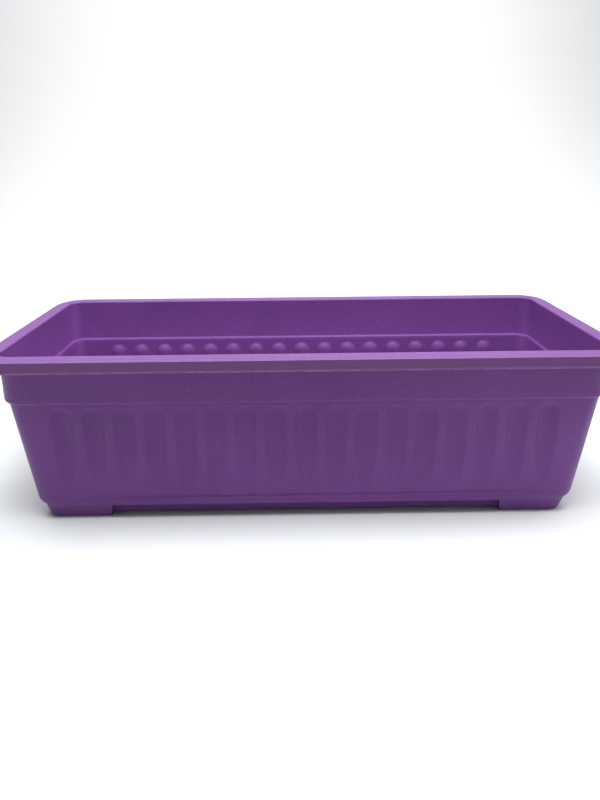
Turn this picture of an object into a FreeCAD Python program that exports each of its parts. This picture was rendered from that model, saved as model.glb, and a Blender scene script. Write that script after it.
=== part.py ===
"""Self-watering window-box planter, 600 mm long, as a parametric FreeCAD document.

A moulded trough with a broad rolled rim, a plain collar band, fluted walls and four corner feet holds a
two-piece soil separator on wicking cups. The space under the separator is the water reservoir. A filling
tube with a hinged lid and a float gauge stands in the front right corner, and an overflow pipe with a
pull-out drain plug passes through the floor.

Frame: millimetres, +Z up, +X along the length, the front wall faces -Y. The origin is on the ground under
the middle of the trough.
"""
import FreeCAD, Part

import math
import os

import Sketcher

Vector = FreeCAD.Vector

DIMS = {
    # trough, overall
    "length": 600.0,
    "width": 220.0,
    "height": 175.0,
    "wall": 2.4,
    # rim: a flat band with a hanging lip
    "rim_band": 16.4,
    "rim_plate": 2.6,
    "rim_corner": 28.0,
    "lip_drop": 11.5,
    "lip_wall": 2.4,
    "lip_flare": 0.5,
    "crown_drop": 0.5,
    "crown_start": 8.2,
    "edge_round": 0.8,
    "rim_inner_round": 2.5,
    "ring_start": 8.0,
    "ring_width": 0.8,
    "ring_depth": 0.25,
    # collar band between the rim and the fluted wall
    "collar_draft": 1.8,
    "collar_corner": 20.0,
    "step_drop": 46.2,
    "step_width": 3.2,
    "step_slope": 1.6,
    "step_round": 2.8,
    "ledge_round": 1.4,
    # fluted wall
    "taper": 7.6,
    "body_corner": 17.5,
    "body_foot_corner": 20.0,
    "bottom_round": 16.0,
    "bottom_end": 45.0,
    # base tier with the four feet
    "crease_height": 15.0,
    "crease_corner": 18.0,
    "foot_slope": 0.36,
    "foot_corner": 14.0,
    "notch_top": 190.5,
    "notch_bottom": 193.0,
    "notch_height": 14.2,
    "notch_depth": 8.5,
    "sole_gap": 3.0,
    "end_gap": 44.0,
    "ground_clear": 4.0,
    # flutes
    "flute_pitch": 28.4,
    "flute_count": 17.0,
    "end_flute_count": 3.0,
    "flute_radius": 14.0,
    "flute_depth": 4.6,
    "flute_dome": 16.0,
    "flute_straight": 30.0,
    "flute_run": 54.0,
    "flute_back": 1.7,
    # overflow and drain
    "drain_place": -105.0,
    "dimple_radius": 17.0,
    "dimple_rise": 6.0,
    "drain_hole": 7.3,
    "pipe_radius": 7.0,
    "pipe_bore": 4.5,
    "water_level": 38.0,
    "pipe_end": 3.2,
    "flange_radius": 13.0,
    "flange_sheet": 2.0,
    "gasket_sheet": 1.5,
    "gasket_fit": 0.1,
    "nut_radius": 12.5,
    "nut_fit": 0.05,
    "plug_head_radius": 8.6,
    "plug_head": 2.0,
    "plug_length": 8.0,
    "plug_fit": 0.1,
    "seal_radius": 7.6,
    "seal_sheet": 1.15,
    "seal_fit": 0.05,
    # separator
    "panel_level": 44.0,
    "panel_sheet": 2.2,
    "panel_reach": 261.5,
    "panel_half_width": 73.0,
    "panel_gap": 1.0,
    "panel_corner": 10.0,
    "upstand": 6.0,
    "upstand_wall": 1.8,
    "leg_radius": 4.0,
    "leg_row": 48.0,
    "leg_inner": 14.0,
    "leg_outer": 105.0,
    "leg_reach": 232.0,
    "leg_end_row": 40.0,
    "leg_beside_tube": 168.0,
    "leg_lift": 0.3,
    "slot_half_width": 2.5,
    "slot_half_length": 14.0,
    "slot_corner": 2.4,
    "slot_pitch": 16.0,
    "slot_start": 22.0,
    "slot_row": 52.0,
    # wicking cups
    "cup_top": 26.0,
    "cup_base": 20.0,
    "cup_wall": 1.8,
    "cup_flange": 31.0,
    "cup_flange_sheet": 1.5,
    "cup_floor": 6.0,
    "cup_hole": 26.6,
    "cup_slot_half_width": 1.6,
    "cup_slot_half_height": 12.0,
    "cup_slot_corner": 1.55,
    "cup_slot_level": 26.0,
    "cup_drain_radius": 2.5,
    "cup_drain_reach": 9.0,
    # filling tube and gauge
    "tube_place": 216.0,
    "tube_row": -42.0,
    "tube_radius": 15.0,
    "tube_spacing": 26.0,
    "tube_wall": 1.8,
    "tube_floor": 6.0,
    "tube_top": 138.0,
    "head_top": 142.0,
    "head_margin": 2.0,
    "head_skirt": 8.0,
    "tube_fit": 0.4,
    "skirt_fit": 0.15,
    "port_half_width": 3.0,
    "port_half_height": 9.0,
    "port_corner": 2.9,
    "port_rise": 7.0,
    "shelf_half_width": 10.5,
    "shelf_margin": 3.0,
    "ear_reach": 8.0,
    "ear_half_width": 2.0,
    "ear_half_depth": 2.4,
    "inlet_radius": 10.0,
    "gauge_radius": 7.2,
    "window_top": 150.0,
    "lid_sheet": 2.0,
    "lid_gap": 0.3,
    "lid_margin": 2.5,
    "lid_ring_outer": 8.8,
    "lid_ring_inner": 7.4,
    "lid_ring_depth": 2.4,
    "tab_half_width": 5.0,
    "tab_half_depth": 3.0,
    "tab_place": 13.5,
    "knuckle_radius": 2.2,
    "knuckle_half_length": 5.6,
    "hinge_row": -25.6,
    "hinge_level": 144.6,
    "pin_radius": 1.0,
    "pin_half_length": 10.0,
    "pin_play": 0.05,
    "window_radius": 7.0,
    "window_bore": 5.8,
    "window_flange": 9.0,
    "window_flange_sheet": 1.4,
    "window_sink": 3.0,
    "window_sheet": 1.2,
    "float_radius": 10.5,
    "stem_radius": 1.5,
    "float_height": 22.0,
    "float_travel": 18.0,
    "float_rest": 0.8,
    "float_chamfer": 2.0,
    "float_neck_radius": 3.0,
    "float_neck": 5.0,
    "stem_socket": 4.0,
    "marker_radius": 4.6,
    "marker_height": 4.0,
    "marker_socket": 3.0,
    "marker_clear": 1.8,
}

CUP_PLACES = {"left": (-222.0, -148.0, -62.0), "right": (62.0, 148.0)}
SLOT_COUNTS = {"left": {"rear": 15, "front": 15}, "right": {"rear": 15, "front": 10}}
CUP_SLOTS, CUP_DRAINS = 10, 6
THROUGH = 80.0
SLICE = 10.0

doc = FreeCAD.newDocument("self_watering_planter")


class Size:
    """A length known both as a number and as a formula on the spreadsheet's cells."""

    def __init__(self, value, formula):
        self.value = value
        self.formula = formula

    def _join(self, other, sign, value):
        return Size(value, f"({self.formula} {sign} {as_size(other).formula})")

    def __add__(self, other):
        return self._join(other, "+", self.value + as_size(other).value)

    def __sub__(self, other):
        return self._join(other, "-", self.value - as_size(other).value)

    def __mul__(self, other):
        return self._join(other, "*", self.value * as_size(other).value)

    def __truediv__(self, other):
        return self._join(other, "/", self.value / as_size(other).value)

    def __neg__(self):
        return Size(-self.value, f"(0 - {self.formula})")


def as_size(number):
    return number if isinstance(number, Size) else Size(float(number), repr(float(number)))


def make_sheet():
    """The spreadsheet that holds every driving dimension, one alias to a row."""
    sheet = doc.addObject("Spreadsheet::Sheet", "dims")
    for row, (name, value) in enumerate(DIMS.items(), start=1):
        sheet.set(f"A{row}", name)
        sheet.set(f"B{row}", str(value))
        sheet.setAlias(f"B{row}", name)
    doc.recompute()
    return sheet


def cell(name):
    return Size(DIMS[name], f"dims.{name}")


def bind(thing, path, size):
    """Ties one property of an object to a formula on the spreadsheet."""
    thing.setExpression(path, as_size(size).formula)


# ---------------------------------------------------------------- sketches and features


def new_body(name):
    body = doc.addObject("PartDesign::Body", name)
    body.Label = name
    return body


def origin_part(body, role):
    return next(o for o in body.Origin.OriginFeatures if o.Role == role)


def new_sketch(body, name, plane="XY_Plane", offset=0.0):
    """A sketch on one of the body's own origin planes, moved along the plane's normal."""
    sketch = body.newObject("Sketcher::SketchObject", name)
    sketch.AttachmentSupport = [(origin_part(body, plane), "")]
    sketch.MapMode = "FlatFace"
    height = as_size(offset)
    sketch.AttachmentOffset = FreeCAD.Placement(Vector(0, 0, height.value), FreeCAD.Rotation())
    bind(sketch, "AttachmentOffset.Base.z", height)
    return sketch


def name_datum(sketch, constraint, name, size):
    """Adds a dimension to the sketch, names it and ties it to the spreadsheet."""
    index = sketch.addConstraint(constraint)
    sketch.renameConstraint(index, name)
    bind(sketch, f"Constraints.{name}", size)


def draw_loop(sketch, prefix, half_length, half_width, corner, centre=(0.0, 0.0)):
    """Adds a rounded rectangle about a centre on the sketch, fully constrained."""
    hl, hw, r = half_length.value, half_width.value, corner.value
    cx, cy = (as_size(c) for c in centre)
    x, y = cx.value, cy.value
    first = sketch.GeometryCount
    corners = [
        (x + hl - r, y - hw + r, -90.0),
        (x + hl - r, y + hw - r, 0.0),
        (x - hl + r, y + hw - r, 90.0),
        (x - hl + r, y - hw + r, 180.0),
    ]
    arcs = [
        Part.ArcOfCircle(
            Part.Circle(Vector(px, py, 0), Vector(0, 0, 1), r), math.radians(a), math.radians(a + 90)
        )
        for px, py, a in corners
    ]
    for i, arc in enumerate(arcs):
        start = arcs[i - 1].EndPoint
        sketch.addGeometry(Part.LineSegment(start, arc.StartPoint), False)
        sketch.addGeometry(arc, False)
    for i in range(8):
        sketch.addConstraint(Sketcher.Constraint("Tangent", first + i, 2, first + (i + 1) % 8, 1))
    for i in (0, 4):
        sketch.addConstraint(Sketcher.Constraint("Horizontal", first + i))
        sketch.addConstraint(Sketcher.Constraint("Vertical", first + i + 2))
    for i in (3, 5, 7):
        sketch.addConstraint(Sketcher.Constraint("Equal", first + 1, first + i))
    name_datum(sketch, Sketcher.Constraint("Radius", first + 1, r), prefix + "corner", corner)
    for side, index, kind, size in (
        ("right", first + 2, "DistanceX", cx + half_length),
        ("left", first + 6, "DistanceX", cx - half_length),
        ("rear", first + 4, "DistanceY", cy + half_width),
        ("front", first + 0, "DistanceY", cy - half_width),
    ):
        constraint = Sketcher.Constraint(kind, -1, 1, index, 1, size.value)
        name_datum(sketch, constraint, prefix + side, size)


def loop_sketch(body, name, half_length, half_width, corner, level):
    sketch = new_sketch(body, name, offset=level)
    draw_loop(sketch, "", half_length, half_width, corner)
    return sketch


def ring_sketch(body, name, outer, inner, level):
    """Two rounded rectangles, one inside the other. Each is (half length, half width, corner)."""
    sketch = new_sketch(body, name, offset=level)
    draw_loop(sketch, "outer_", *outer)
    draw_loop(sketch, "inner_", *inner)
    return sketch


def circle_sketch(body, name, radius, centres, level, plane="XY_Plane"):
    """Circles of one radius at the given places."""
    sketch = new_sketch(body, name, plane=plane, offset=level)
    for i, (x, y) in enumerate(centres):
        x, y = as_size(x), as_size(y)
        circle = Part.Circle(Vector(x.value, y.value, 0), Vector(0, 0, 1), radius.value)
        index = sketch.addGeometry(circle, False)
        name_datum(sketch, Sketcher.Constraint("Radius", index, radius.value), f"radius{i}", radius)
        for axis, place in (("X", x), ("Y", y)):
            if abs(place.value) < 1e-9:
                on_axis = Sketcher.Constraint("PointOnObject", index, 3, -2 if axis == "X" else -1)
                sketch.addConstraint(on_axis)
            else:
                datum = Sketcher.Constraint(f"Distance{axis}", -1, 1, index, 3, place.value)
                name_datum(sketch, datum, f"place{axis}{i}", place)
    return sketch


def polygon_sketch(body, name, points, plane="XY_Plane", offset=0.0):
    """A closed outline of straight lines through points given as sizes or numbers."""
    sketch = new_sketch(body, name, plane=plane, offset=offset)
    sizes = [(as_size(x), as_size(y)) for x, y in points]
    spots = [Vector(x.value, y.value, 0) for x, y in sizes]
    count = len(spots)
    for i in range(count):
        sketch.addGeometry(Part.LineSegment(spots[i], spots[(i + 1) % count]), False)
    for i in range(count):
        sketch.addConstraint(Sketcher.Constraint("Coincident", i, 2, (i + 1) % count, 1))
    for i, (x, y) in enumerate(sizes):
        for axis, place in (("X", x), ("Y", y)):
            if abs(place.value) < 1e-9:
                on_axis = Sketcher.Constraint("PointOnObject", i, 1, -2 if axis == "X" else -1)
                sketch.addConstraint(on_axis)
            else:
                datum = Sketcher.Constraint(f"Distance{axis}", -1, 1, i, 1, place.value)
                name_datum(sketch, datum, f"point{axis}{i}", place)
    return sketch


def loft(body, name, sketches, ruled=True):
    feature = body.newObject("PartDesign::AdditiveLoft", name)
    feature.Profile = sketches[0]
    feature.Sections = sketches[1:]
    feature.Ruled = ruled
    return feature


def pad(body, name, sketch, depth, down=False):
    feature = body.newObject("PartDesign::Pad", name)
    feature.Profile = sketch
    feature.Length = as_size(depth).value
    bind(feature, "Length", depth)
    feature.Reversed = down
    return feature


def pocket(body, name, sketch, depth, down=False):
    """Cuts along the sketch's normal, or against it if down. A cut that removes nothing stops the build."""
    doc.recompute()
    before = body.Shape.Volume
    feature = body.newObject("PartDesign::Pocket", name)
    feature.Profile = sketch
    feature.Length = as_size(depth).value
    bind(feature, "Length", depth)
    feature.Reversed = not down
    doc.recompute()
    if before - body.Shape.Volume < 1e-3:
        raise RuntimeError(f"{name} cuts nothing")
    return feature


def revolve(body, kind, name, sketch):
    """A full turn of the sketch about its own vertical axis."""
    feature = body.newObject(f"PartDesign::{kind}", name)
    feature.Profile = sketch
    feature.ReferenceAxis = (sketch, ["V_Axis"])
    feature.Angle = 360.0
    return feature


def line_pattern(body, name, original, axis, length, count):
    feature = body.newObject("PartDesign::LinearPattern", name)
    feature.Originals = [original]
    feature.Direction = (origin_part(body, axis), [""])
    feature.Length = length.value
    feature.Occurrences = int(as_size(count).value)
    bind(feature, "Length", length)
    bind(feature, "Occurrences", count)
    body.Tip = feature
    return feature


def polar_pattern(body, name, original, count):
    feature = body.newObject("PartDesign::PolarPattern", name)
    feature.Originals = [original]
    feature.Axis = (origin_part(body, "Z_Axis"), [""])
    feature.Angle = 360.0
    feature.Occurrences = count
    body.Tip = feature
    return feature


def round_edges(body, name, radius, chosen):
    """Fillets the body's edges for which chosen(edge) is true."""
    doc.recompute()
    base = body.Tip
    names = [f"Edge{i}" for i, edge in enumerate(base.Shape.Edges, start=1) if chosen(edge)]
    feature = body.newObject("PartDesign::Fillet", name)
    feature.Base = (base, names)
    feature.Radius = as_size(radius).value
    bind(feature, "Radius", radius)
    doc.recompute()
    return feature


def lies_at(level, inset):
    """A test for edges that lie flat at a level, on the outline that is an inset inside the rim's edge."""
    near = 0.3
    reach_x, reach_y = (half.value - near for half in half_sizes(inset))

    def chosen(edge):
        box = edge.BoundBox
        flat = max(abs(box.ZMin - level.value), abs(box.ZMax - level.value)) < 0.02
        return flat and (max(-box.XMin, box.XMax) > reach_x or max(-box.YMin, box.YMax) > reach_y)

    return chosen


# ---------------------------------------------------------------- trough


def half_sizes(inset):
    """Half length and half width of the outline that lies an inset inside the rim's outer edge."""
    return cell("length") / 2 - inset, cell("width") / 2 - inset


def loop_at(body, name, inset, corner, level):
    half_length, half_width = half_sizes(as_size(inset))
    return loop_sketch(body, name, half_length, half_width, as_size(corner), as_size(level))


TAN_TAPER = math.tan(math.radians(DIMS["taper"]))
taper_slope = Size(TAN_TAPER, "tan(dims.taper * 1 deg)")
wall_slant = Size(1 / math.cos(math.radians(DIMS["taper"])), "(1 / cos(dims.taper * 1 deg))")
step_level = cell("height") - cell("step_drop")
collar_top = cell("rim_band") - cell("wall")
collar_foot = collar_top + cell("collar_draft")
body_top = collar_foot + cell("step_width")
lip_level = cell("height") - cell("lip_drop")
wall_top_level = step_level - cell("step_slope")


def arc_point(radius, angle):
    """Run inwards and drop of a point on the bottom rounding, from the rounding's own centre."""
    a = math.radians(angle)
    return (
        Size(radius.value * math.cos(a), f"({radius.formula} * cos({angle} deg))"),
        Size(radius.value * math.sin(a), f"({radius.formula} * sin({angle} deg))"),
    )


def bottom_centre():
    """Inset and level of the centre that the outer and inner bottom roundings share."""
    radius = cell("bottom_round")
    run_start, drop_start = arc_point(radius, DIMS["taper"])
    drop_end = arc_point(radius, DIMS["bottom_end"])[1]
    level = cell("crease_height") + drop_end
    start_level = level - drop_start
    inset = body_top + (wall_top_level - start_level) * taper_slope + run_start
    return inset, level


def crease_inset():
    """Inset of the crease where the bottom rounding meets the base tier."""
    return bottom_centre()[0] - arc_point(cell("bottom_round"), DIMS["bottom_end"])[0]


def bottom_loops(body, prefix, radius, corner_top, corner_end):
    """Outlines down the bottom rounding, from the tapered wall to the base tier."""
    centre_inset, centre_level = bottom_centre()
    steps = 4
    loops = []
    for i in range(steps + 1):
        angle = DIMS["taper"] + (DIMS["bottom_end"] - DIMS["taper"]) * i / steps
        run, drop = arc_point(radius, angle)
        corner = corner_top + (corner_end - corner_top) * (i / steps)
        loops.append(loop_at(body, f"{prefix}_round{i}", centre_inset - run, corner, centre_level - drop))
    return loops


def notch_outline(body, name, grow, row):
    """The gap between two feet: a trapezoid, wider at the ground, on a plane across the trough."""
    foot = cell("notch_bottom") + grow
    top = cell("notch_top") + grow
    level = cell("notch_height") + grow
    below = -cell("ground_clear")
    points = [(-foot, below), (foot, below), (foot, 0.0), (top, level), (-top, level), (-foot, 0.0)]
    return polygon_sketch(body, name, points, plane="XZ_Plane", offset=row)


def cut_notches(body, grow):
    """Cuts the front and rear gaps between the feet, grown by the wall on the inner side."""
    row = cell("width") / 2 - crease_inset() - cell("notch_depth") - grow
    outline = notch_outline(body, "notch_outline", grow, row)
    notch = pocket(body, "notch_front", outline, THROUGH)
    mirror = body.newObject("PartDesign::Mirrored", "notch_rear")
    mirror.Originals = [notch]
    mirror.MirrorPlane = (origin_part(body, "XZ_Plane"), [""])
    body.Tip = mirror
    doc.recompute()


def flute_sketch(body, name, grow, plane, across, along, lean):
    """Half the outline of a flute's cutter: a round dome, a straight flank and a long arc run out below."""
    radius = cell("flute_radius") + grow
    straight, depth, run = cell("flute_straight"), cell("flute_depth"), cell("flute_run")
    sweep = (run * run + depth * depth) / (depth * 2)
    tail = run * 1.25
    sketch = body.newObject("Sketcher::SketchObject", name)
    sketch.AttachmentSupport = [(origin_part(body, plane), "")]
    sketch.MapMode = "FlatFace"
    dome_level = step_level - cell("flute_dome")
    turn = FreeCAD.Rotation(Vector(0, 0, 1), lean)
    sketch.AttachmentOffset = FreeCAD.Placement(Vector(across.value, dome_level.value, along.value), turn)
    bind(sketch, "AttachmentOffset.Base.x", across)
    bind(sketch, "AttachmentOffset.Base.y", dome_level)
    bind(sketch, "AttachmentOffset.Base.z", along)
    r, flank, big, low = radius.value, straight.value, sweep.value, tail.value
    turn_end = math.asin(low / big)
    end = Vector(r - big * (1 - math.cos(turn_end)), -flank - low, 0)
    dome = Part.Circle(Vector(0, 0, 0), Vector(0, 0, 1), r)
    runout = Part.Circle(Vector(r - big, -flank, 0), Vector(0, 0, 1), big)
    sketch.addGeometry(Part.ArcOfCircle(dome, 0.0, math.pi / 2), False)
    sketch.addGeometry(Part.LineSegment(Vector(r, 0, 0), Vector(r, -flank, 0)), False)
    sketch.addGeometry(Part.ArcOfCircle(runout, -turn_end, 0.0), False)
    sketch.addGeometry(Part.LineSegment(end, Vector(0, end.y, 0)), False)
    sketch.addGeometry(Part.LineSegment(Vector(0, end.y, 0), Vector(0, r, 0)), False)
    for constraint in (
        ("Coincident", 0, 3, -1, 1),
        ("Tangent", 0, 1, 1, 1),
        ("Tangent", 1, 2, 2, 2),
        ("Coincident", 2, 1, 3, 1),
        ("Coincident", 3, 2, 4, 1),
        ("Coincident", 4, 2, 0, 2),
        ("PointOnObject", 0, 2, -2),
        ("PointOnObject", 0, 1, -1),
        ("PointOnObject", 3, 2, -2),
        ("Horizontal", 3),
    ):
        sketch.addConstraint(Sketcher.Constraint(*constraint))
    name_datum(sketch, Sketcher.Constraint("Radius", 0, r), "radius", radius)
    name_datum(sketch, Sketcher.Constraint("DistanceY", 1, 2, 1, 1, flank), "flank", straight)
    name_datum(sketch, Sketcher.Constraint("Radius", 2, big), "sweep", sweep)
    name_datum(sketch, Sketcher.Constraint("DistanceY", 2, 1, 1, 2, low), "tail", tail)
    return sketch


def cut_flutes(body, grow):
    """Cuts the flutes of all four walls, parallel to the walls until they run out towards the bottom."""
    wall_at_dome = body_top + (cell("flute_dome") - cell("step_slope")) * taper_slope
    axis_inset = wall_at_dome - (cell("flute_radius") - cell("flute_depth")) * wall_slant
    lean = DIMS["taper"]
    half_length, half_width = half_sizes(axis_inset)
    span = cell("flute_pitch") * (cell("flute_count") - 1)
    end_span = cell("flute_pitch") * (cell("end_flute_count") - 1)
    walls = [
        ("front", "YZ_Plane", -half_width, -span / 2, lean, "X_Axis", span, "flute_count"),
        ("rear", "YZ_Plane", half_width, -span / 2, -lean, "X_Axis", span, "flute_count"),
        ("left", "XZ_Plane", -half_length, end_span / 2, lean, "Y_Axis", end_span, "end_flute_count"),
        ("right", "XZ_Plane", half_length, end_span / 2, -lean, "Y_Axis", end_span, "end_flute_count"),
    ]
    for side, plane, across, along, tilt, axis, length, count in walls:
        sketch = flute_sketch(body, f"flute_{side}", grow, plane, across, along, tilt)
        first = revolve(body, "Groove", f"flute_cut_{side}", sketch)
        line_pattern(body, f"flutes_{side}", first, axis, length, cell(count))
        doc.recompute()


def make_outer():
    """The trough's outside as a solid block, with its rim channel, gaps, dimple and flutes cut."""
    body = new_body("trough_outside")
    height = cell("height")
    rim_corner = cell("rim_corner")
    edge = cell("edge_round")
    flare = cell("lip_flare")
    crown_level = height - cell("crown_drop")
    loft(
        body,
        "rim_block",
        [
            loop_at(body, "rim_foot", 0.0, rim_corner, lip_level),
            loop_at(body, "rim_side", flare, rim_corner - flare, crown_level - edge),
            loop_at(body, "rim_edge", flare + edge, rim_corner - flare - edge, crown_level),
            loop_at(body, "rim_crown", cell("crown_start"), rim_corner - cell("crown_start"), height),
        ],
    )
    channel_outer = (*half_sizes(cell("lip_wall")), rim_corner - cell("lip_wall"))
    channel_inner = (*half_sizes(collar_top), cell("collar_corner"))
    channel = ring_sketch(body, "rim_channel", channel_outer, channel_inner, lip_level)
    pocket(body, "rim_hollow", channel, cell("lip_drop") - cell("rim_plate"))
    ring_start, ring_end = cell("ring_start"), cell("ring_start") + cell("ring_width")
    ring_outer = (*half_sizes(ring_start), rim_corner - ring_start)
    ring_inner = (*half_sizes(ring_end), rim_corner - ring_end)
    ring = ring_sketch(body, "rim_ring_outline", ring_outer, ring_inner, height)
    pocket(body, "rim_ring", ring, cell("ring_depth"), down=True)
    loft(
        body,
        "collar",
        [
            loop_at(body, "collar_head", collar_top, cell("collar_corner"), lip_level),
            loop_at(body, "collar_base", collar_foot, cell("collar_corner"), step_level),
        ],
    )
    rounds = bottom_loops(
        body, "outside", cell("bottom_round"), cell("body_foot_corner"), cell("crease_corner")
    )
    wall_head = loop_at(body, "wall_head", body_top, cell("body_corner"), wall_top_level)
    step_edge = loop_at(body, "step_edge", collar_foot, cell("collar_corner"), step_level)
    loft(body, "step", [step_edge, wall_head])
    loft(body, "wall", [wall_head, rounds[0]])
    loft(body, "bottom", rounds, ruled=False)
    sole_inset = crease_inset() + cell("crease_height") * cell("foot_slope")
    sole = loop_at(body, "sole", sole_inset, cell("foot_corner"), 0.0)
    loft(body, "base_tier", [rounds[-1], sole])
    round_edges(body, "step_rounding", cell("step_round"), lies_at(step_level, collar_foot))
    cut_notches(body, as_size(0.0))
    gap = polygon_sketch(body, "belly_gap_outline", rectangle(cell("notch_bottom"), cell("width") / 2))
    pocket(body, "belly_gap", gap, cell("sole_gap"))
    ends = polygon_sketch(body, "end_gap_outline", rectangle(cell("length") / 2, cell("end_gap") / 2))
    pocket(body, "end_gap", ends, cell("sole_gap"))
    drain = (cell("drain_place"), 0.0)
    dimple = circle_sketch(body, "dimple_outline", cell("dimple_radius"), [drain], 0.0)
    pocket(body, "dimple", dimple, cell("sole_gap") + cell("dimple_rise"))
    hole = circle_sketch(body, "drain_hole_outline", cell("drain_hole"), [drain], 0.0)
    pocket(body, "drain_hole_cut", hole, THROUGH / 2)
    cut_flutes(body, as_size(0.0))
    return body


def rectangle(half_length, half_width):
    """Corners of a rectangle about the origin."""
    x, y = as_size(half_length), as_size(half_width)
    return [(-x, -y), (x, -y), (x, y), (-x, y)]


def make_inside():
    """The hollow of the trough as a solid, with the backs of the flutes, the gaps and the dimple left out."""
    body = new_body("trough_inside")
    wall = cell("wall")
    height = cell("height")
    corner = cell("collar_corner") - wall
    edge = cell("rim_inner_round")
    ledge_level = step_level + wall
    room_level = wall_top_level + wall
    lead = []
    for i, angle in enumerate((90.0, 60.0, 30.0, 0.0)):
        run, rise = arc_point(edge, angle)
        inset = cell("rim_band") - edge + run
        lead.append(loop_at(body, f"mouth{i}", inset, corner + edge - run, height - edge + rise))
    mouth_top = loop_at(body, "mouth_top", cell("rim_band") - edge, corner + edge, height + wall)
    loft(body, "mouth_clear", [mouth_top, lead[0]])
    loft(body, "mouth", lead, ruled=False)
    ledge_loop = loop_at(body, "ledge", collar_foot + wall, corner, ledge_level)
    loft(body, "collar_room", [lead[-1], ledge_loop])
    rounds = bottom_loops(
        body,
        "inside",
        cell("bottom_round") - wall,
        cell("body_foot_corner") - wall,
        cell("crease_corner") - wall,
    )
    room_inset = body_top + wall * wall_slant - wall * taper_slope
    room_head = loop_at(body, "room_head", room_inset, cell("body_corner") - wall, room_level)
    loft(body, "ledge_slope", [ledge_loop, room_head])
    loft(body, "room", [room_head, rounds[0]])
    loft(body, "room_bottom", rounds, ruled=False)
    floor_level = cell("sole_gap") + wall
    centre_inset, centre_level = bottom_centre()
    run, drop = arc_point(cell("bottom_round") - wall, DIMS["bottom_end"])
    floor_inset = centre_inset - run + (centre_level - drop - floor_level) * cell("foot_slope")
    floor_loop = loop_at(body, "floor", floor_inset, cell("foot_corner") - wall, floor_level)
    loft(body, "floor_room", [rounds[-1], floor_loop])
    round_edges(body, "ledge_rounding", cell("ledge_round"), lies_at(ledge_level, collar_foot + wall))
    cut_notches(body, wall)
    drain = (cell("drain_place"), 0.0)
    boss = circle_sketch(body, "boss_outline", cell("dimple_radius") + wall, [drain], floor_level)
    pocket(body, "boss", boss, cell("dimple_rise"))
    cut_flutes(body, cell("flute_back"))
    return body


def make_trough():
    outside, inside = make_outer(), make_inside()
    doc.recompute()
    trough = doc.addObject("Part::Cut", "trough")
    trough.Base = outside
    trough.Tool = inside
    trough.Label = "trough"
    return trough


# ---------------------------------------------------------------- soil separator


def make_panel(side):
    """Half of the soil separator: a slotted sheet with an upstand, holes for its cups, and legs."""
    sign = 1.0 if side == "right" else -1.0
    body = new_body(f"separator_{side}")
    level = cell("panel_level")
    half = (cell("panel_reach") - cell("panel_gap")) / 2
    middle = (cell("panel_gap") + half) * sign
    across = cell("panel_half_width")
    corner = cell("panel_corner")
    outline = new_sketch(body, f"sheet_{side}", offset=level)
    draw_loop(outline, "", half, across, corner, (middle, 0.0))
    pad(body, f"sheet_pad_{side}", outline, cell("panel_sheet"))
    rim = new_sketch(body, f"upstand_{side}", offset=level)
    draw_loop(rim, "outer_", half, across, corner, (middle, 0.0))
    inner = cell("upstand_wall")
    draw_loop(rim, "inner_", half - inner, across - inner, corner - inner, (middle, 0.0))
    pad(body, f"upstand_pad_{side}", rim, cell("upstand") + cell("panel_sheet"))
    leg_row, leg_end = cell("leg_row"), cell("leg_reach") * sign
    centres = [(cell(leg) * sign, leg_row * row) for leg in ("leg_inner", "leg_outer") for row in (-1.0, 1.0)]
    centres.append((leg_end, cell("leg_end_row")))
    centres.append(
        (leg_end, -cell("leg_end_row")) if side == "left" else (cell("leg_beside_tube"), -leg_row)
    )
    legs = circle_sketch(body, f"legs_{side}", cell("leg_radius"), centres, level)
    foot_level = cell("sole_gap") + cell("wall") + cell("leg_lift")
    pad(body, f"legs_pad_{side}", legs, level - foot_level, down=True)
    cups = [(place, 0.0) for place in CUP_PLACES[side]]
    holes = circle_sketch(body, f"cup_holes_{side}", cell("cup_hole"), cups, level)
    pocket(body, f"cup_holes_cut_{side}", holes, SLICE)
    if side == "right":
        pocket(body, "tube_opening_cut", tube_loop(body, "tube_opening", cell("tube_fit"), level), SLICE)
    cut_slot_rows(body, side, level)
    return body


def cut_slot_rows(body, side, level):
    """Two rows of drain slots, one in front of the cups and one behind them."""
    pitch = cell("slot_pitch")
    half_size = cell("slot_half_width"), cell("slot_half_length"), cell("slot_corner")
    for row, count in SLOT_COUNTS[side].items():
        span = pitch * (count - 1)
        place = cell("slot_start") if side == "right" else -cell("slot_start") - span
        first = new_sketch(body, f"slot_{row}_{side}", offset=level)
        draw_loop(first, "", *half_size, (place, cell("slot_row") * (1.0 if row == "rear" else -1.0)))
        cut = pocket(body, f"slot_cut_{row}_{side}", first, SLICE)
        line_pattern(body, f"slots_{row}_{side}", cut, "X_Axis", span, count)
        doc.recompute()


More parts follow.
